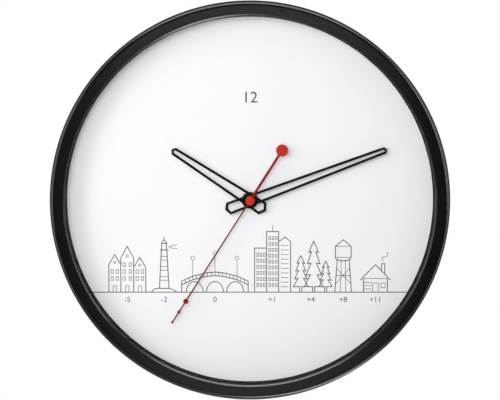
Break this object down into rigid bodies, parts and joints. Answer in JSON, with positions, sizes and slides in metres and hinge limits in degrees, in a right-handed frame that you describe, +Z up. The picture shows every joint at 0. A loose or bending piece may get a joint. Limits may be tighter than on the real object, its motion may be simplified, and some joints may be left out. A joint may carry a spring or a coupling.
{
  "type": "wall clock",
  "caption": "Round wall clock with a black moulded bezel, white dial under a clear lens, hollow black hands, a red second hand and a battery quartz movement.",
  "frame": {"origin": "hook seat of the hanging slot, on the wall plane at the back of the case", "axes": "+Z up, the dial faces -Y, the wall lies on the +Y side, +X to the right as the dial is read"},
  "size_m": [0.43, 0.048, 0.43],
  "materials": {
    "case_black": "satin moulded black plastic",
    "back_black": "fine textured black moulding",
    "ring_black": "matt black",
    "clear_lens": "clear, polished",
    "dial_white": "matt white, printed in dark grey",
    "screw_zinc": "zinc plated",
    "brass": "turned brass",
    "rubber_black": "matt",
    "movement_plastic": "moulded black plastic",
    "stator_steel": "stamped, dull",
    "core_steel": "dull",
    "copper_wire": "enamelled copper wire",
    "board_green": "lacquered",
    "can_steel": "satin",
    "chip_black": "resin blob",
    "contact_nickel": "nickel plated spring steel",
    "cell_jacket": "printed film jacket",
    "magnet_grey": "sintered, dull",
    "wheel_plastic": "natural moulded plastic",
    "knob_black": "moulded",
    "hand_black": "satin black paint",
    "hand_red": "satin red paint",
    "cap_red": "satin",
    "tube_steel": "drawn"
  },
  "bodies": {
    "case": {"bezel": "case_black", "lens": "clear_lens", "spacer_ring": "ring_black", "dial": "dial_white", "back_case": "back_black", "case_screws": "screw_zinc", "threaded_bushing": "brass", "rubber_washer": "rubber_black", "brass_washer": "brass", "hex_nut": "brass", "movement_front": "movement_plastic", "movement_back": "movement_plastic", "stator": "stator_steel", "coil_core": "core_steel", "coil_winding": "copper_wire", "circuit_board": "board_green", "quartz_crystal": "can_steel", "clock_chip": "chip_black", "positive_contact": "contact_nickel", "negative_contact": "contact_nickel", "battery": "cell_jacket"},
    "second_hand_body": {"second_hand": "hand_red", "second_hand_tube": "tube_steel", "second_hand_cap": "cap_red", "second_wheel": "wheel_plastic"},
    "minute_hand_body": {"minute_hand": "hand_black", "minute_hand_bush": "hand_black", "cannon_pinion": "brass"},
    "hour_hand_body": {"hour_hand": "hand_black", "hour_hand_collet": "hand_black", "hour_wheel": "wheel_plastic"},
    "rotor_body": {"rotor_magnet": "magnet_grey", "rotor_pinion": "wheel_plastic"},
    "idler_body": {"idler_wheel": "wheel_plastic"},
    "third_wheel_body": {"third_wheel": "wheel_plastic"},
    "centre_wheel_body": {"centre_wheel": "brass"},
    "minute_work_body": {"minute_work_wheel": "wheel_plastic"},
    "setting_knob_body": {"setting_knob": "knob_black"}
  },
  "joints": [
    {"name": "second_hand_turn", "type": "hinge", "parent": "case", "child": "second_hand_body", "pos_m": [0, 0, -0.165], "axis": [0, 1, 0], "continuous": true},
    {"name": "minute_hand_turn", "type": "hinge", "parent": "case", "child": "minute_hand_body", "pos_m": [0, 0, -0.165], "axis": [0, 1, 0], "continuous": true},
    {"name": "hour_hand_turn", "type": "hinge", "parent": "case", "child": "hour_hand_body", "pos_m": [0, 0, -0.165], "axis": [0, 1, 0], "continuous": true},
    {"name": "rotor_spin", "type": "hinge", "parent": "case", "child": "rotor_body", "pos_m": [0.01141, 0, -0.15609], "axis": [0, 1, 0], "continuous": true},
    {"name": "idler_spin", "type": "hinge", "parent": "case", "child": "idler_body", "pos_m": [0.0028, 0, -0.15457], "axis": [0, 1, 0], "continuous": true},
    {"name": "third_wheel_spin", "type": "hinge", "parent": "case", "child": "third_wheel_body", "pos_m": [-0.00891, 0, -0.15876], "axis": [0, 1, 0], "continuous": true},
    {"name": "centre_wheel_spin", "type": "hinge", "parent": "case", "child": "centre_wheel_body", "pos_m": [0, 0, -0.165], "axis": [0, 1, 0], "continuous": true},
    {"name": "minute_work_spin", "type": "hinge", "parent": "case", "child": "minute_work_body", "pos_m": [-0.00927, 0, -0.16748], "axis": [0, 1, 0], "continuous": true},
    {"name": "setting_knob_turn", "type": "hinge", "parent": "case", "child": "setting_knob_body", "pos_m": [-0.01873, 0, -0.16915], "axis": [0, 1, 0], "continuous": true}
  ],
  "couplings": [
    {"joint": "idler_spin", "follows": "second_hand_turn", "ratio": -5},
    {"joint": "rotor_spin", "follows": "second_hand_turn", "ratio": 30},
    {"joint": "third_wheel_spin", "follows": "second_hand_turn", "ratio": -0.13333},
    {"joint": "centre_wheel_spin", "follows": "second_hand_turn", "ratio": 0.016667},
    {"joint": "minute_work_spin", "follows": "minute_hand_turn", "ratio": -0.33333},
    {"joint": "hour_hand_turn", "follows": "minute_hand_turn", "ratio": 0.083333},
    {"joint": "setting_knob_turn", "follows": "minute_hand_turn", "ratio": 1}
  ]
}
